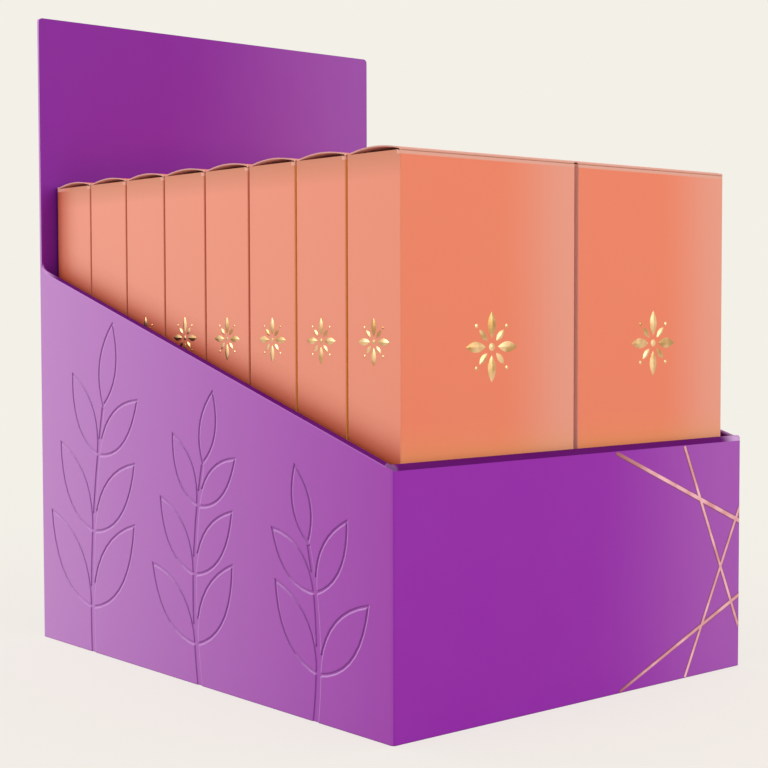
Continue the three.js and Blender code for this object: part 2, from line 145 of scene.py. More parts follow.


# Litho-laminated fluted board: purple print under a painted sheen that fades it from deep purple to lilac,
# a satin coat with a wide soft sheen, paper fibre as a fine tooth, and the flutes pressed through as faint
# upright ribs.
def purple_board():
    material, tree = new_material("litho_laminated_purple_board")
    spot = add(tree, "ShaderNodeTexCoord")
    at = add(tree, "ShaderNodeSeparateXYZ", None, {0: spot["Object"]})
    facing = add(tree, "ShaderNodeSeparateXYZ", None, {0: spot["Normal"]})

    # Painted light on the print: the sides lighter than the front, as lit from the left, a painted sheen
    # lightening them towards the back and the front and the header towards the right, and the header a
    # little darker with painted shade
    depth_range = {"Value": at["Y"], "From Min": tray_low[1], "From Max": tray_high[1]}
    along = add(tree, "ShaderNodeMapRange", None, depth_range)[0]
    width_range = {"Value": at["X"], "From Min": 0.0, "From Max": tray_high[0]}
    across = add(tree, "ShaderNodeMapRange", EASED, width_range)[0]
    side = add(tree, "ShaderNodeMix", COLOUR, {SHARE: along, FIRST: SIDE_FRONT, SECOND: SIDE_BACK})[MIXED]
    wall = add(tree, "ShaderNodeMix", COLOUR, {SHARE: across, FIRST: FACE_LEFT, SECOND: FACE_RIGHT})[MIXED]
    header_start = header_fade_start * tray_high[0]
    header_range = {"Value": at["X"], "From Min": header_start, "From Max": tray_high[0]}
    across_header = add(tree, "ShaderNodeMapRange", EASED, header_range)[0]
    header_mix = {SHARE: across_header, FIRST: HEADER_LEFT, SECOND: HEADER_RIGHT}
    header = add(tree, "ShaderNodeMix", COLOUR, header_mix)[MIXED]
    at_header = add(tree, "ShaderNodeMath", OVER, {0: at["Y"], 1: tray_high[1] - 2 * header_board})[0]
    face = add(tree, "ShaderNodeMix", COLOUR, {SHARE: at_header, FIRST: wall, SECOND: header})[MIXED]
    sideways = add(tree, "ShaderNodeMath", SIZE_OF, {0: facing["X"]})[0]
    faces_out = add(tree, "ShaderNodeMath", OVER, {0: sideways, 1: square_on})[0]
    from_middle = add(tree, "ShaderNodeMath", SIZE_OF, {0: at["X"]})[0]
    skin = tray_high[0] - 2 * press_depth
    in_skin = add(tree, "ShaderNodeMath", OVER, {0: from_middle, 1: skin})[0]
    behind_corner = add(tree, "ShaderNodeMath", OVER, {0: at["Y"], 1: tray_low[1] + 2 * corner_radius})[0]
    header_face = tray_high[1] - header_board
    before_face = add(tree, "ShaderNodeMath", UNDER, {0: at["Y"], 1: header_face - 0.5 * header_board})[0]
    on_side = add(tree, "ShaderNodeMath", TIMES, {0: in_skin, 1: behind_corner})[0]
    on_side = add(tree, "ShaderNodeMath", TIMES, {0: on_side, 1: before_face})[0]
    is_side = add(tree, "ShaderNodeMath", LARGER, {0: faces_out, 1: on_side})[0]
    print_and_painted_light = add(tree, "ShaderNodeMix", COLOUR, {SHARE: is_side, FIRST: face, SECOND: side})[MIXED]

    # Painted light on the lips of the pressed lines: a painted highlight where a lip leans up and back, and
    # a paler painted tone that softens the real shade where a lip leans down and forwards
    folds = add(tree, "ShaderNodeBevel", {"samples": 8}, {"Radius": fold_softness})[0]
    lean = add(tree, "ShaderNodeVectorMath", DOT, {0: folds, 1: lip_light})["Value"]
    lit_range = {"Value": lean, "From Min": least_lean, "From Max": full_lean}
    lit = add(tree, "ShaderNodeMapRange", None, lit_range)[0]
    dim_range = {"Value": lean, "From Min": -least_lean, "From Max": -full_lean}
    dim = add(tree, "ShaderNodeMapRange", None, dim_range)[0]
    lit = add(tree, "ShaderNodeMath", TIMES, {0: lit, 1: on_side})[0]
    dim = add(tree, "ShaderNodeMath", TIMES, {0: dim, 1: on_side})[0]
    lit_share = add(tree, "ShaderNodeMath", TIMES, {0: lit, 1: lit_lip_share})[0]
    dim_share = add(tree, "ShaderNodeMath", TIMES, {0: dim, 1: dim_lip_share})[0]
    lit_mix = {SHARE: lit_share, FIRST: print_and_painted_light, SECOND: LIT_LIP_PAINTED_HIGHLIGHT}
    painted_lips = add(tree, "ShaderNodeMix", COLOUR, lit_mix)[MIXED]
    dim_mix = {SHARE: dim_share, FIRST: painted_lips, SECOND: DIM_LIP_PAINTED_LIGHT}
    painted_lips = add(tree, "ShaderNodeMix", COLOUR, dim_mix)[MIXED]

    # The rolled rims, painted dark with shade, with a painted highlight only at the front rim's two ends
    rise = (back_rim_foot - front_rim_foot) / (tray_high[1] - header_board - tray_low[1])
    back_from_front = add(tree, "ShaderNodeMath", LESS, {0: at["Y"], 1: tray_low[1]})[0]
    slope = add(tree, "ShaderNodeMath", TIMES_PLUS, {0: back_from_front, 1: rise, 2: front_rim_foot})[0]
    over_slope = add(tree, "ShaderNodeMath", LESS, {0: at["Z"], 1: slope})[0]
    past_edge = add(tree, "ShaderNodeMath", OVER, {0: over_slope, 1: rim_edge})[0]
    below_top = add(tree, "ShaderNodeMath", UNDER, {0: over_slope, 1: rim_height})[0]
    start_range = {"Value": at["Y"], "From Min": header_face, "From Max": header_face - rim_start_fade}
    before_header = add(tree, "ShaderNodeMapRange", EASED, start_range)[0]
    side_rim = add(tree, "ShaderNodeMath", TIMES, {0: past_edge, 1: below_top})[0]
    side_rim = add(tree, "ShaderNodeMath", TIMES, {0: side_rim, 1: before_header})[0]
    over_front = add(tree, "ShaderNodeMath", OVER, {0: at["Z"], 1: front_rim_foot})[0]
    near_front = add(tree, "ShaderNodeMath", UNDER, {0: at["Y"], 1: tray_low[1] + front_wall})[0]
    front_rim = add(tree, "ShaderNodeMath", TIMES, {0: over_front, 1: near_front})[0]
    front_rim = add(tree, "ShaderNodeMath", LESS, {0: front_rim, 1: is_side})[0]
    rim = add(tree, "ShaderNodeMath", LARGER, {0: side_rim, 1: front_rim})[0]
    end_range = {"Value": at["X"]}
    end_range["From Min"] = pale_end_from * tray_high[0]
    end_range["From Max"] = pale_end_to * tray_high[0]
    rim_end = add(tree, "ShaderNodeMapRange", EASED, end_range)[0]
    corner_range = {"Value": at["X"]}
    corner_range["From Min"] = pale_corner_from * tray_high[0]
    corner_range["From Max"] = pale_corner_to * tray_high[0]
    rim_corner = add(tree, "ShaderNodeMapRange", EASED, corner_range)[0]
    rim_corner = add(tree, "ShaderNodeMath", TIMES, {0: rim_corner, 1: near_front})[0]
    rim_corner = add(tree, "ShaderNodeMath", TIMES, {0: rim_corner, 1: pale_corner_share})[0]
    rim_end = add(tree, "ShaderNodeMath", LARGER, {0: rim_end, 1: rim_corner})[0]
    rim_mix = {SHARE: rim_end, FIRST: RIM_PAINTED_SHADE, SECOND: LIT_RIM_END}
    rim_painted_light = add(tree, "ShaderNodeMix", COLOUR, rim_mix)[MIXED]
    rimmed = add(tree, "ShaderNodeMix", COLOUR, {SHARE: rim, FIRST: painted_lips, SECOND: rim_painted_light})[MIXED]

    # Inside the tray, painted shade deepens the print where the cartons stand close
    shelter = add(tree, "ShaderNodeAmbientOcclusion", {"samples": 6}, {"Distance": shelter_reach})["AO"]
    painted_shade_share = add(tree, "ShaderNodeMath", LESS, {0: 1.0, 1: shelter})[0]
    within_sides = add(tree, "ShaderNodeMath", UNDER, {0: from_middle, 1: skin})[0]
    within_front = add(tree, "ShaderNodeMath", OVER, {0: at["Y"], 1: tray_low[1] + corner_radius})[0]
    mid_header = tray_high[1] - 0.5 * header_board
    within_back = add(tree, "ShaderNodeMath", UNDER, {0: at["Y"], 1: mid_header})[0]
    within = add(tree, "ShaderNodeMath", TIMES, {0: within_sides, 1: within_front})[0]
    within = add(tree, "ShaderNodeMath", TIMES, {0: within, 1: within_back})[0]
    painted_shade_share = add(tree, "ShaderNodeMath", TIMES, {0: painted_shade_share, 1: within})[0]
    shelter_mix = {SHARE: painted_shade_share, FIRST: rimmed, SECOND: PAINTED_SHADE_PURPLE}
    with_painted_shade = add(tree, "ShaderNodeMix", COLOUR, shelter_mix)[MIXED]

    # The underside is the board's bare liner
    is_under = add(tree, "ShaderNodeMath", UNDER, {0: facing["Z"], 1: -square_on})[0]
    at_foot = add(tree, "ShaderNodeMath", UNDER, {0: at["Z"], 1: 0.5 * header_board})[0]
    bare = add(tree, "ShaderNodeMath", TIMES, {0: is_under, 1: at_foot})[0]
    finished = add(tree, "ShaderNodeMix", COLOUR, {SHARE: bare, FIRST: with_painted_shade, SECOND: BARE_LINER})[MIXED]

    # Paper fibre, a slight mottle in the ink and the flutes below
    fibre_look = {"Vector": spot["Object"], "Scale": 1 / fibre_size, "Detail": 4.0, "Roughness": 0.6}
    fibre = add(tree, "ShaderNodeTexNoise", None, fibre_look)[0]
    mottle_look = {"Vector": spot["Object"], "Scale": 1 / mottle_size, "Detail": 2.0, "Roughness": 0.5}
    mottle = add(tree, "ShaderNodeTexNoise", None, mottle_look)[0]
    mottle_share = add(tree, "ShaderNodeMath", TIMES, {0: mottle, 1: mottle_strength})[0]
    ink_mix = {SHARE: mottle_share, FIRST: finished, SECOND: PAPER_LIGHT}
    ink = add(tree, "ShaderNodeMix", COLOUR, ink_mix)[MIXED]
    round_the_tray = add(tree, "ShaderNodeMath", {"operation": "ADD"}, {0: at["X"], 1: at["Y"]})[0]
    flute_angle = add(tree, "ShaderNodeMath", TIMES, {0: round_the_tray, 1: 2 * math.pi / flute_pitch})[0]
    flutes = add(tree, "ShaderNodeMath", {"operation": "SINE"}, {0: flute_angle})[0]
    tooth = add(tree, "ShaderNodeMath", TIMES, {0: fibre, 1: tooth_height})[0]
    height = add(tree, "ShaderNodeMath", TIMES_PLUS, {0: flutes, 1: rib_height, 2: tooth})[0]
    relief_look = {"Height": height, "Normal": folds, "Strength": relief_strength, "Distance": relief_depth}
    relief = add(tree, "ShaderNodeBump", None, relief_look)[0]
    satin = {0: mottle, 1: roughness_spread, 2: satin_roughness}
    roughness = add(tree, "ShaderNodeMath", TIMES_PLUS, satin)[0]
    gloss = add(tree, "ShaderNodeMath", TIMES_PLUS, {0: rim, 1: rim_ior_change, 2: coat_ior})[0]
    finish = {"Base Color": ink, "Roughness": roughness, "Normal": relief, "IOR": gloss}
    board = add(tree, "ShaderNodeBsdfPrincipled", None, finish)[0]
    add(tree, "ShaderNodeOutputMaterial", None, {"Surface": board})
    return material


def dress(node_name, material):
    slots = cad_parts[node_name].data.materials
    slots.clear()
    slots.append(material)


dress("display_tray", purple_board())

# Foil lines on the front
# Straight lines of rose-gold foil, hot-stamped on the print across the right half of the front wall. They
# run off at its edges and cross each other. A narrow darker foil border along each is painted shade of its
# pressed edge.

foil_thickness = 0.03 * mm
foil_lift_step = 0.2 * foil_thickness
foil_steps = 12
foot_clearance = 0.1 * mm
broad, middling, fine = 1.7, 1.5, 1.35
shade_border_width = 0.8
line_ends = [
    ((18.8, 98.2), (99.7, 63.3), broad),
    ((61.6, 98.2), (99.7, 15.6), fine),
    ((62.6, 0.3), (99.7, 70.8), fine),
    ((21.4, 0.3), (99.7, 31.4), middling),
]

ROSE_DEEP = linear("#E09AA0")
ROSE_BRIGHT = linear("#F8C0CC")
ROSE_DULL = linear("#A8646C")
BORDER_SHADE_DEEP = linear("#844C72")
BORDER_SHADE_BRIGHT = linear("#985C84")

rose_roughness, border_shade_roughness = 0.36, 0.5
ripple_size = 9 * mm
ripple_low, ripple_high = 0.35, 0.65
grain_size = 0.6 * mm
grain_strength = 0.1
dull_from, dull_to = 44 * mm, 18 * mm


# Hot-stamped foil: vacuum-metallised film pressed into the board gives a bright satin metal whose sheen
# wanders gently, with a very fine grain from the board below. On the lines it dulls towards the left.
def satin_foil(name, deep, bright, roughness, dull_end=None):
    material, tree = new_material(name)
    spot = add(tree, "ShaderNodeTexCoord")["Object"]
    ripple_look = {"Vector": spot, "Scale": 1 / ripple_size, "Detail": 3.0}
    ripple = add(tree, "ShaderNodeTexNoise", None, ripple_look)[0]
    ripple_range = {"Value": ripple, "From Min": ripple_low, "From Max": ripple_high}
    ripple_share = add(tree, "ShaderNodeMapRange", EASED, ripple_range)[0]
    metal = add(tree, "ShaderNodeMix", COLOUR, {SHARE: ripple_share, FIRST: deep, SECOND: bright})[MIXED]
    if dull_end:
        x = add(tree, "ShaderNodeSeparateXYZ", None, {0: spot})["X"]
        dull_range = {"Value": x, "From Min": dull_from, "From Max": dull_to}
        dull_share = add(tree, "ShaderNodeMapRange", None, dull_range)[0]
        dull_mix = {SHARE: dull_share, FIRST: metal, SECOND: dull_end}
        metal = add(tree, "ShaderNodeMix", COLOUR, dull_mix)[MIXED]
    grain_look = {"Vector": spot, "Scale": 1 / grain_size, "Detail": 2.0}
    grain = add(tree, "ShaderNodeTexNoise", None, grain_look)[0]
    relief_look = {"Height": grain, "Strength": grain_strength, "Distance": relief_depth}
    relief = add(tree, "ShaderNodeBump", None, relief_look)[0]
    finish = {"Base Color": metal, "Normal": relief, "Metallic": 1.0, "Roughness": roughness}
    foil = add(tree, "ShaderNodeBsdfPrincipled", None, finish)[0]
    add(tree, "ShaderNodeOutputMaterial", None, {"Surface": foil})
    return material


def mesh_object(name, bm, material):
    mesh = bpy.data.meshes.new(name)
    bm.to_mesh(mesh)
    bm.free()
    mesh.materials.append(material)
    piece = bpy.data.objects.new(name, mesh)
    scene.collection.objects.link(piece)
    return piece


def on_front(x, z, lift):
    """A point on the front wall below its rim, following the rounded right corner, lifted off the print."""
    flat_end = tray_high[0] - corner_radius
    past = max(x - flat_end, 0.0)
    angle = math.asin(min(past / corner_radius, 1.0))
    reach = corner_radius + lift
    out_x = flat_end + reach * math.sin(angle) if past else x
    on_wall = min(max(z, foot_clearance), front_rim_foot)
    return (out_x, tray_low[1] + corner_radius - reach * math.cos(angle), on_wall)


def foil_line(bm, start, end, width, lift):
    """A straight line on the flat of the wall, in fine steps only where it turns with the right corner."""
    along = (end - start).normalized()
    side = Vector((-along.y, along.x)) * width / 2
    turning = (corner_radius + width) / (end.x - start.x)
    shares = [0.0] + [1 - turning * i / foil_steps for i in range(foil_steps, -1, -1)]
    rings = []
    for share in shares:
        middle = start.lerp(end, share)
        low, high = middle - side, middle + side
        corners = ((low, lift), (high, lift), (high, -foil_thickness), (low, -foil_thickness))
        rings.append([bm.verts.new(on_front(p.x, p.y, out)) for p, out in corners])
    for near, far in zip(rings, rings[1:]):
        for i in range(4):
            j = (i + 1) % 4
            bm.faces.new((near[i], far[i], far[j], near[j]))
    bm.faces.new(rings[0])
    bm.faces.new(list(reversed(rings[-1])))


def stamp_lines(name, wider, first_lift, foil):
    """All the lines as one piece, each a touch higher than the last, so that the crossings stay clean."""
    bm = bmesh.new()
    for i, (start, end, width) in enumerate(line_ends):
        lift = first_lift + foil_lift_step * i
        foil_line(bm, Vector(start) * mm, Vector(end) * mm, (width + wider) * mm, lift)
    bmesh.ops.recalc_face_normals(bm, faces=bm.faces)
    lines = mesh_object(name, bm, foil)
    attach(lines, "root")


rose_gold_foil = satin_foil("rose_gold_hot_foil", ROSE_DEEP, ROSE_BRIGHT, rose_roughness, ROSE_DULL)
# The borders are painted shade: a darker foil under each line, a little wider
border_shade_foil = satin_foil("painted_shade_foil_border", BORDER_SHADE_DEEP, BORDER_SHADE_BRIGHT, border_shade_roughness)
stamp_lines("foil_line_borders", shade_border_width, foil_thickness, border_shade_foil)
stamp_lines("foil_lines", 0.0, 2 * foil_thickness, rose_gold_foil)

# Cartons
# Sixteen sleeves of solid bleached board, printed coral and satin-coated outside and plain white inside.
# Each is creased, wrapped and glued along one corner, and stands loose in the tray.

first_low, first_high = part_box("carton_left_1")
second_low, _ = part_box("carton_left_2")
_, last_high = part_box("carton_left_8")
right_low, right_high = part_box("carton_right_1")
row_pitch = second_low[1] - first_low[1]
row_centre = (first_low[1] + first_high[1]) / 2
column_centre = (right_low[0] + right_high[0]) / 2
half_width = (right_high[0] - right_low[0]) / 2
half_depth = (first_high[1] - first_low[1]) / 2
board = 0.5 * mm
tuck_drop = 13 * mm
lid_gap = 0.3 * mm
dust_flap_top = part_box("lid_left_1")[0][2] + tuck_drop - lid_gap

CORAL_LEFT = linear("#F08260")
CORAL_RIGHT = linear("#EC9B84")
CORAL_SIDE_FRONT = linear("#EC9177")
CORAL_SIDE_BACK = linear("#EE9A84")
TOP_SHADE = linear("#C48060")
HEADER_SHADE = linear("#CC7254")
CORAL_LIGHT = linear("#F4B09C")
PAINTED_SHADE_CORAL = linear("#BC4218")
PALE_GAP = linear("#FAC4B8")
ROW_GAP = linear("#DC8A6A")
GOLDEN_GAP = linear("#F0B04A")
FOLDED_CORAL = linear("#E4A692")
WHITE_BOARD = linear("#E4D2C6")
RAW_EDGE = linear("#D49C90")

top_fade, top_fade_share = 10 * mm, 0.75
header_fade, header_fade_share = 22 * mm, 0.7
front_fade_start = 0.05
first_row_openness = 0.75
carton_shelter_reach = 14 * mm
shelter_contrast = 2.0
fold_band = 3 * board
fold_depth = 4 * board
cloud_size = 45 * mm
cloud_strength = 0.06
carton_fibre_size = 0.7 * mm
crease_softness = 0.2 * mm
carton_relief_strength = 0.08
carton_ior = 1.35


def carton_spot(tree, at):
    """Where a point is in its own carton: X and Y from the carton's middle."""
    from_middle = add(tree, "ShaderNodeMath", SIZE_OF, {0: at["X"]})[0]
    from_column = add(tree, "ShaderNodeMath", LESS, {0: from_middle, 1: column_centre})[0]
    hand = add(tree, "ShaderNodeMath", {"operation": "SIGN"}, {0: at["X"]})[0]
    x = add(tree, "ShaderNodeMath", TIMES, {0: from_column, 1: hand})[0]
    from_first = add(tree, "ShaderNodeMath", LESS, {0: at["Y"], 1: row_centre - row_pitch / 2})[0]
    rows = add(tree, "ShaderNodeMath", {"operation": "DIVIDE"}, {0: from_first, 1: row_pitch})[0]
    share = add(tree, "ShaderNodeMath", {"operation": "FRACT"}, {0: rows})[0]
    from_row = add(tree, "ShaderNodeMath", LESS, {0: share, 1: 0.5})[0]
    y = add(tree, "ShaderNodeMath", TIMES, {0: from_row, 1: row_pitch})[0]
    return x, y


def sleeve_colour(tree, at, is_side, front_print_and_sheen, x, y):
    """Coral outside, painted lighter on the sides and with painted shade browner at their top and redder
    beside the header, and white board inside.
    """
    # The sides' coral is painted lighter and pinker than the front, as lit from the left, and lightens a
    # little towards the back
    depth_range = {"Value": at["Y"], "From Min": first_low[1], "From Max": last_high[1]}
    along = add(tree, "ShaderNodeMapRange", None, depth_range)[0]
    side_mix = {SHARE: along, FIRST: CORAL_SIDE_FRONT, SECOND: CORAL_SIDE_BACK}
    side_print_and_light = add(tree, "ShaderNodeMix", COLOUR, side_mix)[MIXED]
    top_range = {"Value": at["Z"], "From Min": dust_flap_top - top_fade, "From Max": dust_flap_top}
    towards_top = add(tree, "ShaderNodeMapRange", None, top_range)[0]
    top_share = add(tree, "ShaderNodeMath", TIMES, {0: towards_top, 1: top_fade_share})[0]
    top_mix = {SHARE: top_share, FIRST: side_print_and_light, SECOND: TOP_SHADE}
    side_print_and_light = add(tree, "ShaderNodeMix", COLOUR, top_mix)[MIXED]
    header_range = {"Value": at["Y"], "From Min": last_high[1] - header_fade, "From Max": last_high[1]}
    by_header = add(tree, "ShaderNodeMapRange", EASED, header_range)[0]
    header_share = add(tree, "ShaderNodeMath", TIMES, {0: by_header, 1: header_fade_share})[0]
    header_mix = {SHARE: header_share, FIRST: side_print_and_light, SECOND: HEADER_SHADE}
    side_print_and_light = add(tree, "ShaderNodeMix", COLOUR, header_mix)[MIXED]
    print_mix = {SHARE: is_side, FIRST: front_print_and_sheen, SECOND: side_print_and_light}
    print_and_painted_light = add(tree, "ShaderNodeMix", COLOUR, print_mix)[MIXED]
    from_x = add(tree, "ShaderNodeMath", SIZE_OF, {0: x})[0]
    from_y = add(tree, "ShaderNodeMath", SIZE_OF, {0: y})[0]
    within_x = add(tree, "ShaderNodeMath", UNDER, {0: from_x, 1: half_width - 0.5 * board})[0]
    within_y = add(tree, "ShaderNodeMath", UNDER, {0: from_y, 1: half_depth - 0.5 * board})[0]
    under_flaps = add(tree, "ShaderNodeMath", UNDER, {0: at["Z"], 1: dust_flap_top - 0.5 * board})[0]
    inside = add(tree, "ShaderNodeMath", TIMES, {0: within_x, 1: within_y})[0]
    inside = add(tree, "ShaderNodeMath", TIMES, {0: inside, 1: under_flaps})[0]
    return add(tree, "ShaderNodeMix", COLOUR, {SHARE: inside, FIRST: print_and_painted_light, SECOND: WHITE_BOARD})[MIXED]


# Coated carton board: a smooth satin coral face with a faint cloudiness, a white uncoated back, and a pale
# raw edge wherever it is cut.
def coral_board(name, piece_colour):
    material, tree = new_material(name)
    spot = add(tree, "ShaderNodeTexCoord")
    at = add(tree, "ShaderNodeSeparateXYZ", None, {0: spot["Object"]})
    facing = add(tree, "ShaderNodeSeparateXYZ", None, {0: spot["Normal"]})
    x, y = carton_spot(tree, at)
    sideways = add(tree, "ShaderNodeMath", SIZE_OF, {0: facing["X"]})[0]
    is_side = add(tree, "ShaderNodeMath", OVER, {0: sideways, 1: square_on})[0]
    # Painted sheen: the front's coral lightens towards each carton's right edge
    fade_range = {"Value": x, "From Min": front_fade_start * half_width, "From Max": half_width}
    across = add(tree, "ShaderNodeMapRange", EASED, fade_range)[0]
    front_mix = {SHARE: across, FIRST: CORAL_LEFT, SECOND: CORAL_RIGHT}
    front_print_and_sheen = add(tree, "ShaderNodeMix", COLOUR, front_mix)[MIXED]
    if piece_colour == "sleeve":
        colour = sleeve_colour(tree, at, is_side, front_print_and_sheen, x, y)
    else:
        colour = lid_colour(tree, facing, is_side, front_print_and_sheen, y)

    # How open each point is to the room, which sets the painted shade below, with the fold at the top and
    # the first row's fronts kept open
    shelter_look = {"Distance": carton_shelter_reach}
    shelter = add(tree, "ShaderNodeAmbientOcclusion", {"samples": 6}, shelter_look)["AO"]
    open_share = add(tree, "ShaderNodeMath", {"operation": "POWER"}, {0: shelter, 1: shelter_contrast})[0]
    near_top = add(tree, "ShaderNodeMath", OVER, {0: at["Z"], 1: dust_flap_top - fold_band})[0]
    near_front = add(tree, "ShaderNodeMath", UNDER, {0: y, 1: fold_depth - half_depth})[0]
    at_fold = add(tree, "ShaderNodeMath", TIMES, {0: near_top, 1: near_front})[0]
    open_share = add(tree, "ShaderNodeMath", LARGER, {0: open_share, 1: at_fold})[0]
    fold_mix = {SHARE: at_fold, FIRST: colour, SECOND: FOLDED_CORAL}
    colour = add(tree, "ShaderNodeMix", COLOUR, fold_mix)[MIXED]
    on_first_row = add(tree, "ShaderNodeMath", UNDER, {0: at["Y"], 1: first_low[1] + board})[0]
    first_row_share = add(tree, "ShaderNodeMath", TIMES, {0: on_first_row, 1: first_row_openness})[0]
    open_share = add(tree, "ShaderNodeMath", LARGER, {0: open_share, 1: first_row_share})[0]

    # Painted shade: close to other board the coral turns a deep brick red. The narrow gaps are painted
    # golden brown behind the first two rows, and paler between the other rows, down the middle and in the
    # slits, where this lightens their real shade.
    third_front = first_low[1] + 2 * row_pitch + board
    before_third = add(tree, "ShaderNodeMath", UNDER, {0: at["Y"], 1: third_front})[0]
    row_mix = {SHARE: before_third, FIRST: ROW_GAP, SECOND: GOLDEN_GAP}
    row_gap = add(tree, "ShaderNodeMix", COLOUR, row_mix)[MIXED]
    close_mix = {SHARE: is_side, FIRST: row_gap, SECOND: PAINTED_SHADE_CORAL}
    painted_gap_shade = add(tree, "ShaderNodeMix", COLOUR, close_mix)[MIXED]
    from_middle = add(tree, "ShaderNodeMath", SIZE_OF, {0: at["X"]})[0]
    in_middle = add(tree, "ShaderNodeMath", UNDER, {0: from_middle, 1: right_low[0] + board})[0]
    pale = add(tree, "ShaderNodeMath", LARGER, {0: in_middle, 1: near_top})[0]
    pale_mix = {SHARE: pale, FIRST: painted_gap_shade, SECOND: PALE_GAP}
    painted_gap_shade = add(tree, "ShaderNodeMix", COLOUR, pale_mix)[MIXED]
    shade_mix = {SHARE: open_share, FIRST: painted_gap_shade, SECOND: colour}
    shaded = add(tree, "ShaderNodeMix", COLOUR, shade_mix)[MIXED]

    # A faint cloudiness in the ink, paper fibre and softly rounded creases
    cloud = add(tree, "ShaderNodeTexNoise", None, {"Vector": spot["Object"], "Scale": 1 / cloud_size})[0]
    cloud_share = add(tree, "ShaderNodeMath", TIMES, {0: cloud, 1: cloud_strength})[0]
    ink_mix = {SHARE: cloud_share, FIRST: shaded, SECOND: CORAL_LIGHT}
    ink = add(tree, "ShaderNodeMix", COLOUR, ink_mix)[MIXED]
    fibre_look = {"Vector": spot["Object"], "Scale": 1 / carton_fibre_size, "Detail": 3.0, "Roughness": 0.6}
    fibre = add(tree, "ShaderNodeTexNoise", None, fibre_look)[0]
    creases = add(tree, "ShaderNodeBevel", {"samples": 4}, {"Radius": crease_softness})[0]
    relief_look = {"Height": fibre, "Normal": creases}
    relief_look.update({"Strength": carton_relief_strength, "Distance": relief_depth})
    relief = add(tree, "ShaderNodeBump", None, relief_look)[0]
    satin = {0: cloud, 1: roughness_spread, 2: satin_roughness}
    roughness = add(tree, "ShaderNodeMath", TIMES_PLUS, satin)[0]
    finish = {"Base Color": ink, "Roughness": roughness, "Normal": relief, "IOR": carton_ior}
    surface = add(tree, "ShaderNodeBsdfPrincipled", None, finish)[0]
    add(tree, "ShaderNodeOutputMaterial", None, {"Surface": surface})
    return material


carton_names = sorted(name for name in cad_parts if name.startswith("carton_"))
sleeve_board = coral_board("coated_coral_carton_board", "sleeve")
for name in carton_names:
    dress(name, sleeve_board)

# Lids
# Each lid is a flap of the same board, creased along the front panel. Its tuck springs against the rear
# panel and bows it up, so that its cut edges show pale above a dark slit.

turned_down = -0.25
turned_forwards = -0.5


def lid_colour(tree, facing, is_side, front_print_and_sheen, y):
    """Coral on top and on the tuck's outside, white board underneath, and raw edges at both ends."""
    faces_down = add(tree, "ShaderNodeMath", UNDER, {0: facing["Z"], 1: turned_down})[0]
    faces_front = add(tree, "ShaderNodeMath", UNDER, {0: facing["Y"], 1: turned_forwards})[0]
    in_rear_half = add(tree, "ShaderNodeMath", OVER, {0: y, 1: 0.0})[0]
    tuck_inside = add(tree, "ShaderNodeMath", TIMES, {0: faces_front, 1: in_rear_half})[0]
    inside = add(tree, "ShaderNodeMath", LARGER, {0: faces_down, 1: tuck_inside})[0]
    lining = {SHARE: inside, FIRST: front_print_and_sheen, SECOND: WHITE_BOARD}
    lined = add(tree, "ShaderNodeMix", COLOUR, lining)[MIXED]
    return add(tree, "ShaderNodeMix", COLOUR, {SHARE: is_side, FIRST: lined, SECOND: RAW_EDGE})[MIXED]


lid_board = coral_board("coated_coral_lid_board", "lid")
lid_names = sorted(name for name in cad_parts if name.startswith("lid_"))
for name in lid_names:
    dress(name, lid_board)

# Foil ornaments on the cartons
# A rosette of pointed petals in gold foil, hot-stamped and embossed on each carton's front and, smaller, on
# both its sides.

emboss = 0.35 * mm
ornament_height = 141.7 * mm
side_ornament_height = 144.0 * mm
side_ornament_scale = 0.66
petals = 8
petal_start = 3.2 * mm
petal_fullness = 0.9
long_petal = (10.2 * mm, 4.2 * mm)
short_petal = (6.0 * mm, 2.6 * mm)
outer_dot_reach = 11.2 * mm
outer_dot_radius = 0.8 * mm
middle_dot_radius = 1.5 * mm
dot_dome = 0.6 * emboss
petal_steps = 8
dot_steps = 16

GOLD_DEEP = linear("#BC9058")
GOLD_BRIGHT = linear("#F2CC9A")
gold_roughness = 0.34


def petal(bm, angle, start, length, width):
    """A pointed petal in the XZ plane, embossed to a ridge along its middle, its face towards -Y."""
    along = Vector((math.sin(angle), 0, math.cos(angle)))
    across = Vector((math.cos(angle), 0, -math.sin(angle)))
    edge = Vector((0, -foil_thickness, 0))
    rows = []
    for i in range(1, petal_steps):
        t = i / petal_steps
        swell = math.sin(math.pi * t) ** petal_fullness
        middle = along * (start + length * t)
        ridge = middle + Vector((0, -foil_thickness - emboss * swell, 0))
        reach = across * (width / 2 * swell)
        rows.append([bm.verts.new(p) for p in (middle - reach + edge, ridge, middle + reach + edge)])
    foot = bm.verts.new(along * start + edge)
    point = bm.verts.new(along * (start + length) + edge)
    faces = [(foot, rows[0][0], rows[0][1]), (foot, rows[0][1], rows[0][2])]
    for near, far in zip(rows, rows[1:]):
        faces += [(near[0], far[0], far[1], near[1]), (near[1], far[1], far[2], near[2])]
    faces += [(point, rows[-1][1], rows[-1][0]), (point, rows[-1][2], rows[-1][1])]
    for face in faces:
        bm.faces.new(face)
    rim = [foot] + [row[0] for row in rows] + [point] + [row[2] for row in reversed(rows)]
    sunk = [bm.verts.new(Vector((v.co.x, foil_thickness, v.co.z))) for v in rim]
    bm.faces.new(sunk)
    for i in range(len(rim)):
        j = (i + 1) % len(rim)
        bm.faces.new((rim[i], rim[j], sunk[j], sunk[i]))


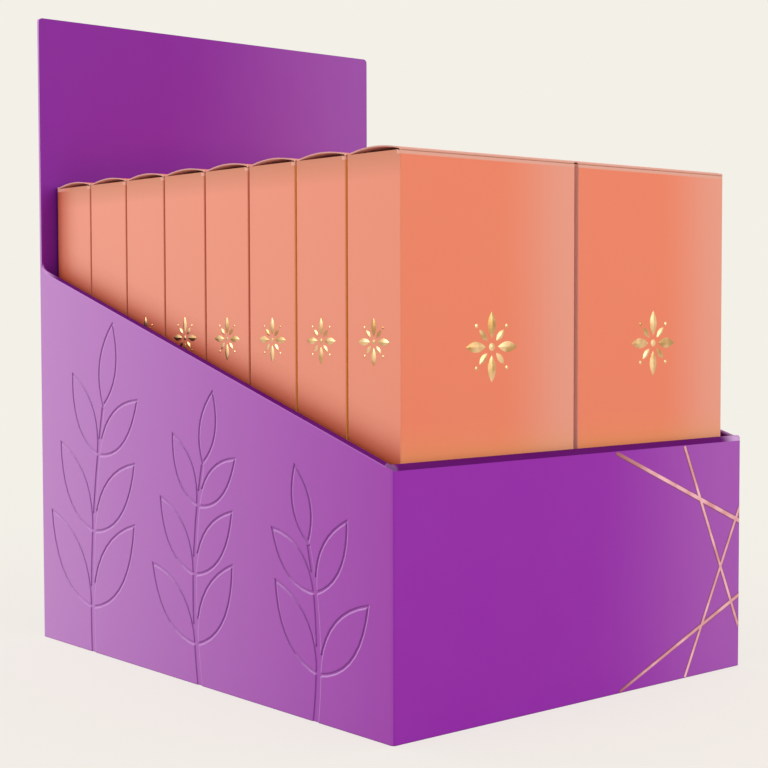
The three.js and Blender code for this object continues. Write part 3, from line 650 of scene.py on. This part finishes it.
def dot(bm, angle, reach, radius):
    """A small domed dot on the same plane."""
    centre = Vector((math.sin(angle), 0, math.cos(angle))) * reach
    turns = [2 * math.pi * i / dot_steps for i in range(dot_steps)]
    ring = [centre + Vector((math.sin(a), 0, math.cos(a))) * radius for a in turns]
    rim = [bm.verts.new(p + Vector((0, -foil_thickness, 0))) for p in ring]
    sunk = [bm.verts.new(p + Vector((0, foil_thickness, 0))) for p in ring]
    top = bm.verts.new(centre + Vector((0, -foil_thickness - dot_dome, 0)))
    bm.faces.new(sunk)
    for i in range(dot_steps):
        j = (i + 1) % dot_steps
        bm.faces.new((rim[i], rim[j], top))
        bm.faces.new((rim[j], rim[i], sunk[i], sunk[j]))


def rosette():
    """Long and short petals in turn, with a dot past each short one and one in the middle."""
    bm = bmesh.new()
    for i in range(petals):
        angle = 2 * math.pi * i / petals
        is_long = i % 2 == 0
        length, width = long_petal if is_long else short_petal
        petal(bm, angle, petal_start, length, width)
        if not is_long:
            dot(bm, angle, outer_dot_reach, outer_dot_radius)
    dot(bm, 0, 0, middle_dot_radius)
    bmesh.ops.recalc_face_normals(bm, faces=bm.faces)
    return bm


def copies_on_all_cartons():
    """Repeats a mesh over all the cartons: columns across, rows back."""
    tree = bpy.data.node_groups.new("copies_on_all_cartons", "GeometryNodeTree")
    given_sockets = {
        "Ornament": "NodeSocketGeometry",
        "Column Pitch": "NodeSocketFloat",
        "Row Pitch": "NodeSocketFloat",
        "Columns": "NodeSocketInt",
        "Rows": "NodeSocketInt",
        "Foil": "NodeSocketMaterial",
    }
    for name, kind in given_sockets.items():
        tree.interface.new_socket(name, in_out="INPUT", socket_type=kind)
    tree.interface.new_socket("Ornaments", in_out="OUTPUT", socket_type="NodeSocketGeometry")
    given = add(tree, "NodeGroupInput")
    across = add(tree, "ShaderNodeCombineXYZ", None, {0: given["Column Pitch"]})[0]
    back = add(tree, "ShaderNodeCombineXYZ", None, {1: given["Row Pitch"]})[0]
    columns = add(tree, "GeometryNodeMeshLine", None, {"Count": given["Columns"], "Offset": across})[0]
    rows = add(tree, "GeometryNodeMeshLine", None, {"Count": given["Rows"], "Offset": back})[0]
    each_row = {"Points": rows, "Instance": given["Ornament"]}
    column = add(tree, "GeometryNodeInstanceOnPoints", None, each_row)[0]
    real_column = add(tree, "GeometryNodeRealizeInstances", None, {0: column})[0]
    each_column = {"Points": columns, "Instance": real_column}
    both = add(tree, "GeometryNodeInstanceOnPoints", None, each_column)[0]
    real = add(tree, "GeometryNodeRealizeInstances", None, {0: both})[0]
    foiled = add(tree, "GeometryNodeSetMaterial", None, {"Geometry": real, "Material": given["Foil"]})[0]
    add(tree, "NodeGroupOutput", None, {0: foiled})
    return tree


gold_foil = satin_foil("gold_hot_foil", GOLD_DEEP, GOLD_BRIGHT, gold_roughness)
copies_tree = copies_on_all_cartons()


def stamp_all(name, bm):
    """The first left carton's ornament, repeated on all the cartons, as one plain mesh."""
    seed = mesh_object(name + "_seed", bm, gold_foil)
    modifier = seed.modifiers.new("copies", "NODES")
    modifier.node_group = copies_tree
    values = {
        "Column Pitch": right_low[0] - first_low[0],
        "Row Pitch": row_pitch,
        "Columns": 2,
        "Rows": len(carton_names) // 2,
        "Foil": gold_foil,
    }
    for socket in copies_tree.interface.items_tree:
        if socket.in_out == "INPUT" and socket.name in values:
            modifier[socket.identifier] = values[socket.name]
    depsgraph = bpy.context.evaluated_depsgraph_get()
    mesh = bpy.data.meshes.new_from_object(seed.evaluated_get(depsgraph))
    mesh.name = name
    bpy.data.objects.remove(seed)
    ornaments = bpy.data.objects.new(name, mesh)
    scene.collection.objects.link(ornaments)
    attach(ornaments, "root")


front_bm = rosette()
left_centre = (first_low[0] + first_high[0]) / 2
bmesh.ops.translate(front_bm, vec=(left_centre, first_low[1], ornament_height), verts=front_bm.verts)
stamp_all("front_foil_ornaments", front_bm)

for hand, side_x, turn in (("left", first_low[0], -math.pi / 2), ("right", first_high[0], math.pi / 2)):
    side_bm = rosette()
    smaller = Matrix.Diagonal((side_ornament_scale, 1, side_ornament_scale, 1))
    place = Matrix.Translation((side_x, row_centre, side_ornament_height)) @ Matrix.Rotation(turn, 4, "Z")
    bmesh.ops.transform(side_bm, matrix=place @ smaller, verts=side_bm.verts)
    stamp_all(hand + "_foil_ornaments", side_bm)

# Floor and room
# A wide matt floor and a room of one pale colour, so that no horizon shows. For the eye the floor is lifted
# to the backdrop's colour, and it keeps the soft shadow of the tray.

BACKDROP = linear("#F3F0E8")
WHITE = linear("#FFFFFF")
room_light = 0.62
floor_reach = 6.0
floor_drop = 0.1 * mm
shadow_strength = 0.35


def seen_rays(tree):
    """One for the rays that the eye follows: from the camera, mirrored, or through something clear."""
    ray = add(tree, "ShaderNodeLightPath")
    seen = add(tree, "ShaderNodeMath", LARGER, {0: ray["Is Camera Ray"], 1: ray["Is Glossy Ray"]})[0]
    return add(tree, "ShaderNodeMath", LARGER, {0: seen, 1: ray["Is Transmission Ray"]})[0]


floor_bm = bmesh.new()
corners = [(-1, -1), (1, -1), (1, 1), (-1, 1)]
around = [floor_bm.verts.new((x * floor_reach, y * floor_reach, -floor_drop)) for x, y in corners]
floor_bm.faces.new(around)
floor_material, floor_tree = new_material("matt_painted_floor")
floor_seen = seen_rays(floor_tree)

# For those rays the matt share carries the shadow, and a glow makes up the rest of the backdrop's colour
lift = add(floor_tree, "ShaderNodeMath", TIMES, {0: floor_seen, 1: 1 - shadow_strength * room_light})[0]
SHADOWED = [shadow_strength * c for c in BACKDROP[:3]] + [1.0]
floor_mix = {SHARE: floor_seen, FIRST: BACKDROP, SECOND: SHADOWED}
floor_colour = add(floor_tree, "ShaderNodeMix", COLOUR, floor_mix)[MIXED]
matt = add(floor_tree, "ShaderNodeBsdfDiffuse", None, {"Color": floor_colour})[0]
glow = add(floor_tree, "ShaderNodeEmission", None, {"Color": BACKDROP, "Strength": lift})[0]
floor_both = add(floor_tree, "ShaderNodeAddShader", None, {0: matt, 1: glow})[0]
add(floor_tree, "ShaderNodeOutputMaterial", None, {"Surface": floor_both})
floor = mesh_object("floor", floor_bm, floor_material)
floor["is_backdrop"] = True

world = bpy.data.worlds.new("studio")
scene.world = world
world.use_nodes = True
world.node_tree.nodes.clear()
seen = seen_rays(world.node_tree)
room = add(world.node_tree, "ShaderNodeBackground", None, {"Color": WHITE, "Strength": room_light})[0]
backdrop = add(world.node_tree, "ShaderNodeBackground", None, {"Color": BACKDROP, "Strength": 1.0})[0]
room_mix = add(world.node_tree, "ShaderNodeMixShader", None, {0: seen, 1: room, 2: backdrop})[0]
add(world.node_tree, "ShaderNodeOutputWorld", None, {"Surface": room_mix})

# Lamps
# Two large soft boxes: the key behind the left shoulder rakes over the pressed branches, and the other
# fills the front. They light the display alone, so that the floor stays even.

lamp_target = Vector((0, 0, 120)) * mm
lit_pieces = bpy.data.collections.new("lit_by_the_lamps")
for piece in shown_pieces():
    lit_pieces.objects.link(piece)


def soft_box(name, place, size, power):
    light = bpy.data.lights.new(name, "AREA")
    light.shape = "RECTANGLE"
    light.size, light.size_y = size
    light.energy = power
    lamp = bpy.data.objects.new(name, light)
    lamp.location = place
    lamp.rotation_mode = "QUATERNION"
    aim = lamp_target - Vector(place)
    lamp.rotation_quaternion = aim.to_track_quat("-Z", "Y")
    lamp.light_linking.receiver_collection = lit_pieces
    scene.collection.objects.link(lamp)


soft_box("key_softbox", place=(-1.4, 0.5, 1.0), size=(1.0, 1.0), power=15)
soft_box("front_softbox", place=(0.3, -1.7, 0.7), size=(1.2, 1.0), power=12.5)

# Camera
# Fitted to the photograph: a long lens a little above the tray, towards the front left corner.

camera_data = bpy.data.cameras.new("camera")
focal_pixels = 1601.99
frame_pixels = 768
camera_data.sensor_width = 36
camera_data.lens = focal_pixels / frame_pixels * camera_data.sensor_width
camera = bpy.data.objects.new("camera", camera_data)
camera_place = Vector((-468.49, -556.61, 156.44)) * mm
yaw, pitch, roll = math.radians(40.398), math.radians(-2.717), math.radians(-0.126)
ahead = Vector((math.sin(yaw) * math.cos(pitch), math.cos(yaw) * math.cos(pitch), math.sin(pitch)))
level = Vector((math.cos(yaw), -math.sin(yaw), 0))
upright = level.cross(ahead)
right_hand = math.cos(roll) * level + math.sin(roll) * upright
up_hand = math.cos(roll) * upright - math.sin(roll) * level
camera_turn = Matrix((right_hand, up_hand, -ahead)).transposed().to_4x4()
camera.matrix_world = Matrix.Translation(camera_place) @ camera_turn
scene.collection.objects.link(camera)
scene.camera = camera

scene.view_settings.view_transform = "Standard"
